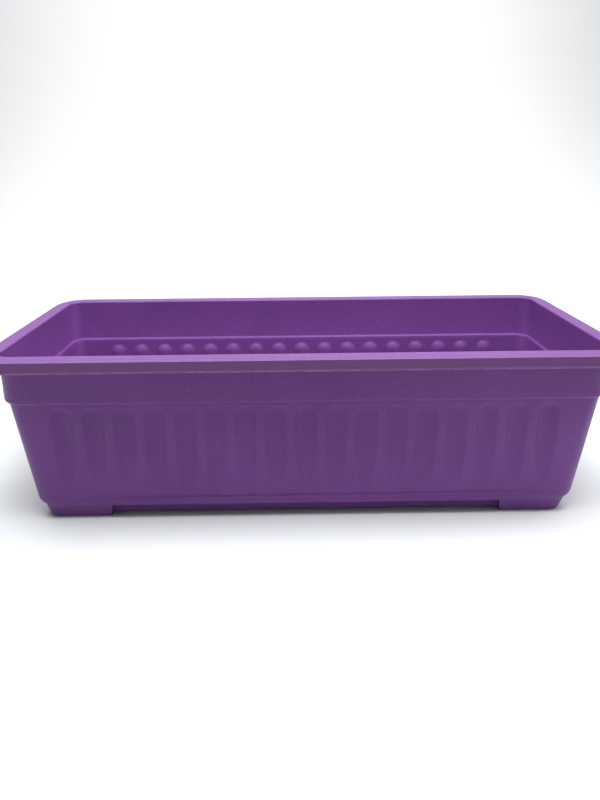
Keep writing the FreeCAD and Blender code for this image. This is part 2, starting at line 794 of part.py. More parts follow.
def make_cup(number, place):
    """A wicking cup: a slotted, tapered basket that hangs by its flange in the separator."""
    body = new_body(f"wick_cup_{number}")
    wall = cell("cup_wall")
    floor = cell("cup_floor")
    seat = cell("panel_level") + cell("panel_sheet")
    top = seat + cell("cup_flange_sheet")
    points = [
        (0.0, floor),
        (cell("cup_base"), floor),
        (cell("cup_top"), seat),
        (cell("cup_flange"), seat),
        (cell("cup_flange"), top),
        (cell("cup_top") - wall, top),
        (cell("cup_base") - wall, floor + wall),
        (0.0, floor + wall),
    ]
    profile = polygon_sketch(body, f"cup_profile_{number}", points, plane="XZ_Plane")
    revolve(body, "Revolution", f"cup_turned_{number}", profile)
    slot = new_sketch(body, f"cup_slot_{number}", plane="YZ_Plane")
    slot_size = cell("cup_slot_half_width"), cell("cup_slot_half_height"), cell("cup_slot_corner")
    draw_loop(slot, "", *slot_size, (0.0, cell("cup_slot_level")))
    cut = pocket(body, f"cup_slot_cut_{number}", slot, THROUGH / 2)
    polar_pattern(body, f"cup_slots_{number}", cut, CUP_SLOTS)
    doc.recompute()
    drain_place = [(cell("cup_drain_reach"), 0.0)]
    base_hole = circle_sketch(body, f"cup_drain_{number}", cell("cup_drain_radius"), drain_place, floor)
    base_cut = pocket(body, f"cup_drain_cut_{number}", base_hole, wall * 2)
    polar_pattern(body, f"cup_drains_{number}", base_cut, CUP_DRAINS)
    body.Placement = FreeCAD.Placement(Vector(place, 0, 0), FreeCAD.Rotation())
    return body


# ---------------------------------------------------------------- filling tube and gauge


def draw_tube_loop(sketch, prefix, grow):
    """Adds a round-ended outline about the tube's middle, grown or shrunk from the tube's outside."""
    radius = cell("tube_radius") + grow
    centre = (cell("tube_place"), cell("tube_row"))
    draw_loop(sketch, prefix, radius + cell("tube_spacing") / 2, radius, radius - 0.05, centre)


def tube_loop(body, name, grow, level):
    sketch = new_sketch(body, name, offset=level)
    draw_tube_loop(sketch, "", grow)
    return sketch


inlet_place = cell("tube_place") - cell("tube_spacing") / 2
gauge_place = cell("tube_place") + cell("tube_spacing") / 2


def hinge_circle(body, name, radius, reach):
    """A circle about the lid's hinge axis, on a plane a reach to the left of the inlet."""
    spot = [(cell("hinge_row"), cell("hinge_level"))]
    return circle_sketch(body, name, radius, spot, inlet_place - reach, plane="YZ_Plane")


def make_fill_tube():
    """The round-ended tube with a partition: water goes down one side, the float rides in the other."""
    body = new_body("fill_tube")
    floor, top = cell("tube_floor"), cell("tube_top")
    pad(body, "tube_pad", tube_loop(body, "tube_outline", as_size(0.0), floor), top - floor)
    bore = tube_loop(body, "tube_bore_outline", -cell("tube_wall"), floor)
    pocket(body, "tube_bore", bore, top - floor)
    partition = new_sketch(body, "partition_outline", offset=floor)
    half_gap = cell("tube_radius") - cell("tube_wall") / 2
    centre = (cell("tube_place"), cell("tube_row"))
    draw_loop(partition, "", cell("tube_wall") / 2, half_gap, as_size(0.2), centre)
    pad(body, "partition", partition, top - floor)
    port_size = cell("port_half_width"), cell("port_half_height"), cell("port_corner")
    port_level = floor + cell("port_rise")
    port = new_sketch(body, "port_outline", plane="XZ_Plane")
    draw_loop(port, "", *port_size, (inlet_place, port_level))
    pocket(body, "ports", port, THROUGH)
    start = cell("tube_place") - cell("tube_wall") * 2
    passage = new_sketch(body, "passage_outline", plane="YZ_Plane", offset=start)
    draw_loop(passage, "", *port_size, (cell("tube_row"), port_level))
    pocket(body, "passage", passage, THROUGH / 2)
    return body


def make_fill_head():
    """The cover on top of the tube, with the inlet, the gauge hole and two ears for the lid's pin."""
    body = new_body("fill_head")
    top, seat = cell("head_top"), cell("tube_top")
    margin = cell("head_margin")
    pad(body, "head_plate", tube_loop(body, "head_outline", margin, seat), top - seat)
    skirt = new_sketch(body, "skirt_outline", offset=seat)
    draw_tube_loop(skirt, "outer_", margin)
    draw_tube_loop(skirt, "inner_", cell("skirt_fit"))
    pad(body, "skirt", skirt, cell("head_skirt"), down=True)
    row = cell("tube_row")
    shelf = new_sketch(body, "shelf_outline", offset=seat)
    reach = (cell("hinge_row") + cell("shelf_margin") - row) / 2
    draw_loop(shelf, "", cell("shelf_half_width"), reach, as_size(0.6), (inlet_place, row + reach))
    pad(body, "hinge_shelf", shelf, top - seat)
    ear_half_depth = cell("ear_half_depth")
    ear_height = cell("hinge_level") - top + ear_half_depth
    for side, sign in (("left", -1.0), ("right", 1.0)):
        ear = new_sketch(body, f"ear_{side}_outline", offset=top)
        spot = (inlet_place + cell("ear_reach") * sign, cell("hinge_row"))
        draw_loop(ear, "", cell("ear_half_width"), ear_half_depth, as_size(0.4), spot)
        pad(body, f"ear_{side}", ear, ear_height)
    for hole, radius, place in (
        ("inlet", cell("inlet_radius"), inlet_place),
        ("gauge_hole", cell("gauge_radius"), gauge_place),
    ):
        pocket(body, hole, circle_sketch(body, f"{hole}_outline", radius, [(place, row)], seat), SLICE)
    bore = hinge_circle(body, "pin_bore_outline", cell("pin_radius"), cell("shelf_half_width") * 1.2)
    pocket(body, "pin_bore", bore, cell("shelf_half_width") * 2.4)
    return body


def make_fill_lid():
    """The flap over the inlet: a round plate with a locating ring, a finger tab and a hinge knuckle."""
    body = new_body("fill_lid")
    under = cell("head_top") + cell("lid_gap")
    row, sheet, play = cell("tube_row"), cell("lid_sheet"), cell("pin_play")
    knuckle_reach = cell("knuckle_half_length")
    radius = cell("inlet_radius") + cell("lid_margin")
    pad(body, "lid_plate", circle_sketch(body, "lid_outline", radius, [(inlet_place, row)], under), sheet)
    neck = new_sketch(body, "lid_neck_outline", offset=under)
    reach = (cell("hinge_row") - row) / 2
    draw_loop(neck, "", knuckle_reach, reach, as_size(0.3), (inlet_place, row + reach))
    pad(body, "lid_neck", neck, sheet)
    tab = new_sketch(body, "lid_tab_outline", offset=under)
    tab_size = cell("tab_half_width"), cell("tab_half_depth"), as_size(2.0)
    draw_loop(tab, "", *tab_size, (inlet_place, row - cell("tab_place")))
    pad(body, "lid_tab", tab, sheet)
    ring = new_sketch(body, "lid_ring_outline", offset=under)
    for prefix in ("outer", "inner"):
        radius = cell(f"lid_ring_{prefix}")
        draw_loop(ring, f"{prefix}_", radius, radius, radius - play, (inlet_place, row))
    pad(body, "lid_ring", ring, cell("lid_ring_depth"), down=True)
    knuckle = hinge_circle(body, "knuckle_outline", cell("knuckle_radius"), knuckle_reach)
    pad(body, "knuckle", knuckle, knuckle_reach * 2)
    bore = hinge_circle(body, "knuckle_bore_outline", cell("pin_radius") + play, knuckle_reach + play)
    pocket(body, "knuckle_bore", bore, (knuckle_reach + play) * 2)
    return body


def make_lid_pin():
    body = new_body("lid_pin")
    reach = cell("pin_half_length")
    pad(body, "pin", hinge_circle(body, "pin_outline", cell("pin_radius"), reach), reach * 2)
    return body


def turned(label, points, place, row):
    """A solid of revolution about an upright axis at a place, from an outline of radius and level."""
    body = new_body(label)
    profile = polygon_sketch(body, f"{label}_profile", points, plane="XZ_Plane")
    revolve(body, "Revolution", f"{label}_turned", profile)
    body.Placement = FreeCAD.Placement(Vector(place.value, row.value, 0), FreeCAD.Rotation())
    bind(body, "Placement.Base.x", place)
    bind(body, "Placement.Base.y", row)
    return body


def make_gauge():
    """The clear gauge window, and the float with its stem and marker."""
    row = cell("tube_row")
    top, crest = cell("head_top"), cell("window_top")
    outside, inside, flange = cell("window_radius"), cell("window_bore"), cell("window_flange")
    foot, sheet = top - cell("window_sink"), cell("window_sheet")
    flange_top = top + cell("window_flange_sheet")
    window_points = [
        (inside, foot),
        (outside, foot),
        (outside, top),
        (flange, top),
        (flange, flange_top),
        (outside, flange_top),
        (outside, crest - 2.0),
        (outside - 1.6, crest),
        (0.0, crest),
        (0.0, crest - sheet),
        (inside - 0.9, crest - sheet),
        (inside, crest - sheet - 1.1),
    ]
    window = turned("gauge_window", window_points, gauge_place, row)
    floor = cell("tube_floor") + cell("float_rest")
    crown = floor + cell("float_height")
    radius, chamfer = cell("float_radius"), cell("float_chamfer")
    neck_radius, neck_top = cell("float_neck_radius"), crown + cell("float_neck")
    stem_radius, stem_foot = cell("stem_radius"), crown - cell("stem_socket")
    float_points = [
        (0.0, floor),
        (radius - chamfer, floor),
        (radius, floor + chamfer),
        (radius, crown - chamfer),
        (radius - chamfer, crown),
        (neck_radius, crown),
        (neck_radius, neck_top),
        (stem_radius, neck_top),
        (stem_radius, stem_foot),
        (0.0, stem_foot),
    ]
    bulb = turned("float", float_points, gauge_place, row)
    marker_top = crest - cell("marker_clear") - cell("float_travel")
    marker_foot = marker_top - cell("marker_height")
    stem_top = marker_foot + cell("marker_socket")
    stem_points = [(0.0, stem_foot), (stem_radius, stem_foot), (stem_radius, stem_top), (0.0, stem_top)]
    stem = turned("float_stem", stem_points, gauge_place, row)
    marker_radius = cell("marker_radius")
    marker_points = [
        (stem_radius, marker_foot),
        (marker_radius - 0.2, marker_foot),
        (marker_radius, marker_foot + 0.6),
        (marker_radius, marker_top - 1.0),
        (marker_radius - 1.2, marker_top),
        (0.0, marker_top),
        (0.0, stem_top),
        (stem_radius, stem_top),
    ]
    marker = turned("gauge_marker", marker_points, gauge_place, row)
    return [window, bulb, stem, marker]


# ---------------------------------------------------------------- overflow and drain


def make_overflow():
    """The overflow pipe through the floor, its gasket and nut, and the drain plug with its seal."""
    place, row = cell("drain_place"), as_size(0.0)
    under = cell("sole_gap") + cell("dimple_rise")
    seat = under + cell("wall")
    radius, bore, flange = cell("pipe_radius"), cell("pipe_bore"), cell("flange_radius")
    flange_foot = seat + cell("gasket_sheet")
    flange_top = flange_foot + cell("flange_sheet")
    pipe_foot = under - cell("pipe_end")
    pipe_points = [
        (bore, pipe_foot),
        (radius, pipe_foot),
        (radius, flange_foot),
        (flange, flange_foot),
        (flange, flange_top),
        (radius, flange_top),
        (radius, cell("water_level")),
        (bore, cell("water_level")),
    ]
    pipe = turned("overflow_pipe", pipe_points, place, row)
    gasket_bore = radius + cell("gasket_fit")
    gasket_points = [(gasket_bore, seat), (flange, seat), (flange, flange_foot), (gasket_bore, flange_foot)]
    gasket = turned("overflow_gasket", gasket_points, place, row)
    nut = new_body("overflow_nut")
    across = cell("nut_radius")
    corners = [arc_point(across, turn) for turn in range(0, 360, 60)]
    nut_outline = polygon_sketch(nut, "nut_outline", corners, offset=pipe_foot)
    pad(nut, "nut_hex", nut_outline, under - pipe_foot)
    nut_bore = circle_sketch(nut, "nut_bore_outline", radius + cell("nut_fit"), [(0.0, 0.0)], pipe_foot)
    pocket(nut, "nut_bore", nut_bore, SLICE)
    nut.Placement = FreeCAD.Placement(Vector(place.value, 0, 0), FreeCAD.Rotation())
    bind(nut, "Placement.Base.x", place)
    head_radius, head_top = cell("plug_head_radius"), pipe_foot - cell("seal_fit") - cell("seal_sheet")
    head_foot = head_top - cell("plug_head")
    shank, shank_top = bore - cell("plug_fit"), pipe_foot + cell("plug_length")
    plug_points = [
        (0.0, head_foot),
        (head_radius - 0.6, head_foot),
        (head_radius, head_foot + 0.6),
        (head_radius, head_top),
        (shank, head_top),
        (shank, shank_top - 1.0),
        (shank - 0.9, shank_top),
        (0.0, shank_top),
    ]
    plug = turned("drain_plug", plug_points, place, row)
    seal_bore, seal_radius = bore + cell("seal_fit"), cell("seal_radius")
    seal_top = pipe_foot - cell("seal_fit")
    seal_points = [
        (seal_bore, head_top),
        (seal_radius, head_top),
        (seal_radius, seal_top),
        (seal_bore, seal_top),
    ]
    seal = turned("plug_seal", seal_points, place, row)
    return [pipe, gasket, nut, plug, seal]


# ---------------------------------------------------------------- build, check and export


def check_and_export(parts):
    """Stops on any failed object or bad shape, then writes one STEP file for each sub-part."""
    doc.recompute()
    for thing in doc.Objects:
        if "Invalid" in thing.State or "Error" in thing.State:
            raise RuntimeError(f"{thing.Name} failed: {thing.State}")
    os.makedirs("parts", exist_ok=True)
    for old in os.listdir("parts"):
        os.remove(os.path.join("parts", old))
    for part in parts:
        shape = part.Shape
        if shape.isNull() or not shape.isValid() or not shape.Solids:
            raise RuntimeError(f"{part.Label} has no valid solid")
        shape.exportStep(os.path.join("parts", f"{part.Label}.step"))
        box = shape.BoundBox
        print(
            f"{part.Label}: {len(shape.Solids)} solid, {shape.Volume / 1000:.1f} cm3, "
            f"x {box.XMin:.1f}..{box.XMax:.1f} y {box.YMin:.1f}..{box.YMax:.1f} "
            f"z {box.ZMin:.1f}..{box.ZMax:.1f}"
        )


def main():
    make_sheet()
    parts = [make_trough(), make_panel("left"), make_panel("right")]
    for number, place in enumerate(CUP_PLACES["left"] + CUP_PLACES["right"], start=1):
        parts.append(make_cup(number, place))
    parts += [make_fill_tube(), make_fill_head(), make_fill_lid(), make_lid_pin()]
    parts += make_gauge()
    parts += make_overflow()
    check_and_export(parts)


main()
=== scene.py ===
"""Looks of the self-watering planter: plastics, rubber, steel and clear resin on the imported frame."""

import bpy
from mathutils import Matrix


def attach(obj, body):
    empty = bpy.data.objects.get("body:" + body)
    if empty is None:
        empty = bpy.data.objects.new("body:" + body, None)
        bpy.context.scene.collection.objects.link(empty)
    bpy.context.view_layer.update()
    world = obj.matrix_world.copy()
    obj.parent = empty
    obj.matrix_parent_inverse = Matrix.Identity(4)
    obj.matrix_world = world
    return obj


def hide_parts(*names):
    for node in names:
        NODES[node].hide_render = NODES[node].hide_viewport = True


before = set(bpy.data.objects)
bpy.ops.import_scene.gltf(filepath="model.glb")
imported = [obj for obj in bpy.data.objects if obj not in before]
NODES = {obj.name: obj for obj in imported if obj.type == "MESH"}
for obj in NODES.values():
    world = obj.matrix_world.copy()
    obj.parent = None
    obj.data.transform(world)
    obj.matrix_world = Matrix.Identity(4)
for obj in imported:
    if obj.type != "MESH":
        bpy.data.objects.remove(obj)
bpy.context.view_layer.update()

from collections import namedtuple
from math import cos, pi, radians, sin, sqrt, tan

import bpy
import numpy as np
from mathutils import Matrix, Vector

scene = bpy.context.scene


# ---------------------------------------------------------------- sizes of the trough

# All in millimetres. An inset is measured inwards from the rim's outer edge, a level upwards from the ground.

MM = 0.001
LENGTH, WIDTH, HEIGHT, WALL = 600.0, 220.0, 175.0, 2.4

RIM_CORNER, RIM_THICKNESS = 28.0, 2.6
CROWN_INSET, CROWN_SLOPE = 8.2, 0.0725
RING_INSETS, RING_HALF_WIDTH, RING_DEPTH = (11.6, 8.4, 5.2), 0.5, 0.4
LIP_FOOT, LIP_THICKNESS, LIP_INSET, LIP_HEAD_DROP = HEIGHT - 11.5, 2.4, 0.6, 0.55
BEAD_LEVEL, BEAD_HEAD_LEVEL = LIP_FOOT + 1.5, LIP_FOOT + 2.3
MOUTH_INSET, MOUTH_ROUND, MOUTH_CORNER = 14.8, 1.6, 13.0

COLLAR_INSET, COLLAR_CORNER, STEP_INSET, STEP_LEVEL = 14.0, 20.0, 15.8, 128.8
WALL_HEAD_INSET, WALL_HEAD_LEVEL, TAPER = 19.2, 127.2, radians(7.6)
LEDGE_INSET, LEDGE_LEVEL, LEDGE_FOOT_LEVEL = 18.2, STEP_LEVEL + 0.7, WALL_HEAD_LEVEL + 1.5

FLUTE_PITCH, LONG_FLUTES, END_FLUTES = 28.4, 17, 3
FLUTE_DROP, FLUTE_STRAIGHT, FLUTE_RUN, FLUTE_DEPTH = 16.0, 30.0, 54.0, 4.6
FLUTE_MARGIN, DOME_REACH, RUN_OUT_LEVEL = 2.0, 12.6, 26.0

BOTTOM_ROUND, BOTTOM_END, BOTTOM_STEPS = 16.0, radians(45), 7
CREASE_LEVEL, FOOT_SLOPE, FLOOR_LEVEL = 15.0, 0.36, 5.4
FOOT_GAP_HALF, FOOT_GAP_HEAD_HALF, FOOT_GAP_HEIGHT, FOOT_GAP_INSET = 193.0, 190.5, 14.2, 8.5
END_GAP_HALF, BELLY_LEVEL = 22.0, 3.0
UNDER_LEVEL, PAST_EDGE = -5.0, 20.0

DRAIN_X, DRAIN_RADIUS, DRAIN_HEAD_LEVEL = -105.0, 7.3, 40.0
DIMPLE_RADIUS, DIMPLE_LEVEL, BOSS_RADIUS, BOSS_LEVEL = 17.0, 9.0, 19.4, 11.4

CORNER_STEPS, DISC_SIDES = 8, 72

# A scoop presses one flute: its radius, how far its centre lies outside the wall, how softly its edge blends,
# the points across each flute, and the spacing of the rows over the dome and down the tail.
Scoop = namedtuple("Scoop", "radius away softness samples dome_row tail_row")
OUTER_SCOOP = Scoop(radius=14.0, away=9.4, softness=0.55, samples=22, dome_row=1.05, tail_row=2.4)
INNER_SCOOP = Scoop(radius=13.2, away=9.6, softness=0.2, samples=18, dome_row=1.25, tail_row=3.2)


# ---------------------------------------------------------------- materials


def linear(*display):
    """A linear colour from three 0-255 display values, by the sRGB curve."""
    shares = [value / 255 for value in display]
    return (*(((v + 0.055) / 1.055) ** 2.4 if v > 0.04045 else v / 12.92 for v in shares), 1.0)


class Nodes:
    """Short calls for building one material's node tree."""

    def __init__(self, name):
        self.material = bpy.data.materials.new(name)
        self.material.use_nodes = True
        self.tree = self.material.node_tree
        self.shader = next(n for n in self.tree.nodes if n.type == "BSDF_PRINCIPLED")
        self.place = self.tree.nodes.new("ShaderNodeTexCoord").outputs["Object"]

    def add(self, kind, inputs=(), **settings):
        """A new node with its settings made and its inputs fed."""
        node = self.tree.nodes.new(kind)
        for key, value in settings.items():
            setattr(node, key, value)
        for key, value in dict(inputs).items():
            self.feed(node.inputs[key], value)
        return node

    def feed(self, socket, value):
        """Links a socket, or sets a plain value."""
        if isinstance(value, bpy.types.NodeSocket):
            self.tree.links.new(value, socket)
        else:
            socket.default_value = value

    def noise(self, scale, detail=4.0, roughness=0.55, distortion=0.0, stretch=None):
        place = self.place
        if stretch:
            place = self.add("ShaderNodeMapping", {"Vector": self.place, "Scale": stretch}).outputs[0]
        inputs = {
            "Vector": place,
            "Scale": scale,
            "Detail": detail,
            "Roughness": roughness,
            "Distortion": distortion,
        }
        return self.add("ShaderNodeTexNoise", inputs).outputs["Fac"]

    def ramp(self, value, low, high, start=0.0, end=1.0):
        """Value between low and high becomes start to end, held flat outside them."""
        inputs = {"Value": value, "From Min": low, "From Max": high, "To Min": start, "To Max": end}
        return self.add("ShaderNodeMapRange", inputs, clamp=True).outputs[0]

    def maths(self, operation, a, b):
        return self.add("ShaderNodeMath", {0: a, 1: b}, operation=operation).outputs[0]

    def mix(self, amount, a, b):
        node = self.add("ShaderNodeMix", data_type="RGBA")
        for index, value in ((0, amount), (6, a), (7, b)):
            self.feed(node.inputs[index], value)
        return node.outputs[2]

    def coat(self, colour, paint, strength, *masks):
        """Mixes paint into colour by strength, where every mask is high."""
        for mask in masks:
            strength = self.maths("MULTIPLY", mask, strength)
        return self.mix(strength, colour, paint)

    def axis(self, name):
        return self.add("ShaderNodeSeparateXYZ", {0: self.place}).outputs[name]

    def bump(self, *layers):
        """Stacks (height, distance in metres) layers of bump and feeds them to the shader."""
        normal = None
        for height, distance in layers:
            inputs = {"Height": height, "Distance": distance, "Strength": 1.0}
            if normal:
                inputs["Normal"] = normal
            normal = self.add("ShaderNodeBump", inputs).outputs[0]
        self.feed(self.shader.inputs["Normal"], normal)

    def set(self, **inputs):
        """Feeds the shader's own sockets, named with underscores for spaces."""
        for key, value in inputs.items():
            self.feed(self.shader.inputs[key.replace("_", " ")], value)


def moulded_plastic(name, dark, light, worn, rough, wear_and_painted_light=None):
    """Injection moulded plastic: slow colour drift, fine speckle, scuffs, grain and slight waviness, and an
    optional extra step of worn marks and painted light.
    """
    n = Nodes(name)
    dark, light, worn = linear(*dark), linear(*light), linear(*worn)
    drift = n.noise(5.0, detail=3.0, roughness=0.5, distortion=0.4)
    speckle = n.noise(420.0, detail=2.0)
    streaks = n.noise(26.0, detail=5.0, roughness=0.6, distortion=0.8, stretch=(1.0, 1.0, 0.22))
    scratch = n.noise(60.0, detail=7.0, roughness=0.68, distortion=1.6, stretch=(0.6, 1.0, 1.2))
    scuff = n.ramp(scratch, 0.70, 0.76, 0.0, 0.3)
    colour = n.mix(n.ramp(drift, 0.3, 0.7), dark, light)
    colour = n.mix(n.ramp(speckle, 0.45, 0.75, 0.0, 0.10), colour, worn)
    colour = n.mix(n.ramp(streaks, 0.55, 0.8, 0.0, 0.16), colour, dark)
    colour = n.mix(scuff, colour, worn)
    if wear_and_painted_light:
        colour = wear_and_painted_light(n, colour)
    shine = n.ramp(n.noise(14.0, detail=5.0, roughness=0.6), 0.3, 0.7, rough - 0.05, rough + 0.07)
    n.set(Base_Color=colour, Roughness=n.maths("ADD", shine, scuff), Specular_IOR_Level=0.16)
    waves, grain = n.noise(11.0, detail=2.0), n.noise(1300.0, detail=3.0)
    n.bump((waves, 0.6 * MM), (grain, 0.04 * MM), (scratch, 0.06 * MM))
    return n.material


def trough_wear_and_painted_light(n, colour):
    """Paints light and handling marks: the hanging lip greyed as a painted sheen, pale rubs with painted
    highlights along the lip's lower edge and the rim's outer edge, painted shade darkening the rim's top, and
    scraped feet.
    """

    def below_top(start, end):
        """Rises from 0 to 1 between two depths below the rim's top."""
        return n.ramp(height, (HEIGHT - start) * MM, (HEIGHT - end) * MM)

    def near_edge(start, end):
        """Rises from 0 to 1 between two insets from the rim's outer edge."""
        return n.ramp(outermost, (WIDTH / 2 - start) * MM, (WIDTH / 2 - end) * MM)

    height = n.axis("Z")
    along = n.maths("SUBTRACT", n.maths("ABSOLUTE", n.axis("X"), 0.0), (LENGTH - WIDTH) / 2 * MM)
    outermost = n.maths("MAXIMUM", along, n.maths("ABSOLUTE", n.axis("Y"), 0.0))
    patchy = n.ramp(n.noise(70.0, detail=6.0, roughness=0.7), 0.40, 0.64, 0.25, 1.0)
    lip, top = near_edge(2.8, 2.2), below_top(1.2, 0.6)
    # Painted sheen: the lip's hanging face is greyed, standing in for the greyish sheen of light on it.
    colour = n.coat(colour, linear(86, 57, 90), 0.8, lip, below_top(0.8, 1.2))
    # Pale rub and painted highlight along the lip's lower edge, round the bead.
    colour = n.coat(colour, linear(150, 108, 160), 0.6, lip, below_top(9.8, 10.8), patchy)
    # Pale rub and painted highlight along the rim's rounded outer edge.
    colour = n.coat(colour, linear(168, 132, 186), 0.5, top, near_edge(1.4, 0.8), patchy)
    # Painted shade: the rim's top is painted darker and greyer, toning down the overhead light that falls on
    # it.
    colour = n.coat(colour, linear(104, 78, 112), 0.35, top, near_edge(15.0, 14.4))
    return n.coat(colour, linear(140, 104, 158), 0.35, n.ramp(height, 6.0 * MM, 0.0), patchy)


def rubber(name, dark, light, bloom):
    """Soft black rubber with a faint dusty bloom."""
    n = Nodes(name)
    colour = n.mix(n.ramp(n.noise(60.0, detail=5.0), 0.35, 0.7), linear(*dark), linear(*light))
    dust = n.ramp(n.noise(240.0), 0.55, 0.75, 0.0, 0.25)
    n.set(Base_Color=n.mix(dust, colour, linear(*bloom)))
    n.set(Roughness=n.ramp(n.noise(35.0), 0.3, 0.7, 0.66, 0.86))
    n.bump((n.noise(900.0), 0.08 * MM))
    return n.material


def drawn_steel(name, dark, light):
    """Bright wire with fine lines along its length, which is X."""
    n = Nodes(name)
    lines = n.noise(260.0, detail=6.0, roughness=0.7, stretch=(0.08, 1.0, 1.0))
    colour = n.mix(n.ramp(lines, 0.3, 0.7), linear(*dark), linear(*light))
    n.set(Base_Color=colour, Roughness=n.ramp(lines, 0.3, 0.7, 0.24, 0.42), Metallic=1.0)
    n.bump((lines, 0.02 * MM))
    return n.material


def clear_resin(name, clean, hazy):
    """Transparent moulded resin, slightly hazed by handling."""
    n = Nodes(name)
    haze = n.noise(120.0, detail=5.0)
    n.set(Base_Color=n.mix(n.ramp(haze, 0.4, 0.7), linear(*clean), linear(*hazy)))
    n.set(Roughness=n.ramp(haze, 0.4, 0.75, 0.03, 0.16), Transmission_Weight=0.95, IOR=1.49)
    n.bump((n.noise(300.0, detail=3.0), 0.02 * MM))
    return n.material


# Colours are 0-255 display values: dark, light and worn, then the roughness.
WORN_PURPLE = (150, 112, 172)
PURPLE = moulded_plastic("purple_plastic", (95, 51, 115), (105, 59, 127), WORN_PURPLE, 0.40, wear_and_painted_light=trough_wear_and_painted_light)
LID = moulded_plastic("lid_purple", (95, 49, 118), (105, 57, 130), WORN_PURPLE, 0.38)
CHARCOAL = moulded_plastic("charcoal_plastic", (38, 38, 41), (52, 52, 56), (96, 95, 96), 0.52)
GREY = moulded_plastic("grey_plastic", (120, 121, 124), (138, 139, 141), (176, 175, 174), 0.46)
BLACK = moulded_plastic("black_plastic", (24, 24, 26), (34, 34, 37), (82, 82, 84), 0.45)
WHITE = moulded_plastic("white_float", (218, 217, 211), (236, 235, 230), (190, 186, 176), 0.5)
RED = moulded_plastic("red_marker", (176, 24, 22), (202, 34, 30), (226, 110, 100), 0.38)
RUBBER = rubber("black_rubber", dark=(22, 22, 22), light=(38, 37, 36), bloom=(96, 94, 92))
STEEL = drawn_steel("drawn_steel", dark=(150, 152, 156), light=(196, 198, 202))
CLEAR = clear_resin("clear_resin", clean=(236, 242, 240), hazy=(214, 224, 222))

FINISH = {
    "trough": PURPLE,
    "separator_left": CHARCOAL,
    "separator_right": CHARCOAL,
    "fill_tube": GREY,
    "fill_head": GREY,
    "fill_lid": LID,
    "lid_pin": STEEL,
    "gauge_window": CLEAR,
    "float": WHITE,
    "float_stem": WHITE,
    "gauge_marker": RED,
    "overflow_pipe": BLACK,
    "overflow_nut": BLACK,
    "overflow_gasket": RUBBER,
    "drain_plug": BLACK,
    "plug_seal": RUBBER,
    **{f"wick_cup_{number}": CHARCOAL for number in range(1, 6)},
}

for name, material in FINISH.items():
    mesh = NODES[name].data
    mesh.materials.clear()
    mesh.materials.append(material)


# ---------------------------------------------------------------- profiles and loops of the trough


def softened(profile):
    """Rounds an outline of (inset, level, trim, corner radius): trim is how far each bend is cut back."""
    most_of_arm, small_trim = 0.48, 0.6
    points = []
    for i, (inset, level, trim, corner) in enumerate(profile):
        if not trim:
            points.append((inset, level, corner))
            continue
        here = Vector((inset, level))
        arms = []
        for other in (profile[i - 1], profile[i + 1]):
            arm = Vector(other[:2]) - here
            arms.append(here + arm.normalized() * min(trim, most_of_arm * arm.length))
        for share in np.linspace(0.0, 1.0, 3 if trim < small_trim else 5):
            spot = arms[0] * (1 - share) ** 2 + here * (2 * share * (1 - share)) + arms[1] * share**2
            points.append((spot.x, spot.y, corner))
    return points


def straight_places(run, count, samples):
    """Places along a straight side: evenly spread over each flute's pitch, none beyond the side's ends."""
    step = FLUTE_PITCH / samples
    reach = int((count * FLUTE_PITCH / 2 + FLUTE_MARGIN) / step) * step
    return np.concatenate(([-run], np.arange(-reach, reach + step / 2, step), [run]))


def outline(inset, corner, samples):
    """A rounded rectangle, anticlockwise from the front left, with its outward normals."""
    half_length, half_width = LENGTH / 2 - inset, WIDTH / 2 - inset
    long_run, short_run = half_length - corner, half_width - corner
    spots, normals = [], []
    sides = [
        (long_run, -half_width, 0.0, LONG_FLUTES, (long_run, -short_run)),
        (short_run, -half_length, 90.0, END_FLUTES, (long_run, short_run)),
        (long_run, -half_width, 180.0, LONG_FLUTES, (-long_run, short_run)),
        (short_run, -half_length, 270.0, END_FLUTES, (-long_run, -short_run)),
    ]
    for run, away, turn, count, centre in sides:
        c, s = cos(radians(turn)), sin(radians(turn))
        along = straight_places(run, count, samples) if samples else np.array((-run, run))
        spots.append(np.column_stack((along * c - away * s, along * s + away * c)))
        normals.append(np.tile((s, -c), (len(along), 1)))
        angles = np.radians(turn - 90.0 + 90.0 * np.arange(1, CORNER_STEPS) / CORNER_STEPS)
        arrow = np.column_stack((np.cos(angles), np.sin(angles)))
        spots.append(np.array(centre) + arrow * corner)
        normals.append(arrow)
    return np.vstack(spots), np.vstack(normals)


def flute_sink(spots, normals, level, scoop):
    """How far the flutes press each point of a row inwards: a soft-edged scoop that runs out below."""
    sink = np.zeros(len(spots))
    below = STEP_LEVEL - level - FLUTE_DROP
    if below < 0:
        reach = scoop.radius**2 - below**2
    else:
        run = max(below - FLUTE_STRAIGHT, 0.0)
        sweep = (FLUTE_RUN**2 + FLUTE_DEPTH**2) / FLUTE_DEPTH / 2
        reach = (scoop.radius - sweep + sqrt(max(sweep**2 - run**2, 0.0))) ** 2
    for axis, count in ((0, LONG_FLUTES), (1, END_FLUTES)):
        flat = on_side(normals, 1 - axis)
        along = spots[flat, axis]
        half = (count - 1) // 2
        across = along - np.clip(np.round(along / FLUTE_PITCH), -half, half) * FLUTE_PITCH
        room = reach - across**2
        height = (room - scoop.away**2) / (np.sqrt(np.maximum(room, 0.0)) + scoop.away)
        sink[flat] = (height + np.sqrt(height**2 + scoop.softness**2)) / 2
    return sink


def on_side(normals, axis):
    """Which points lie on a straight side that faces along an axis, and not on a corner."""
    return np.abs(normals[:, axis]) > 0.999


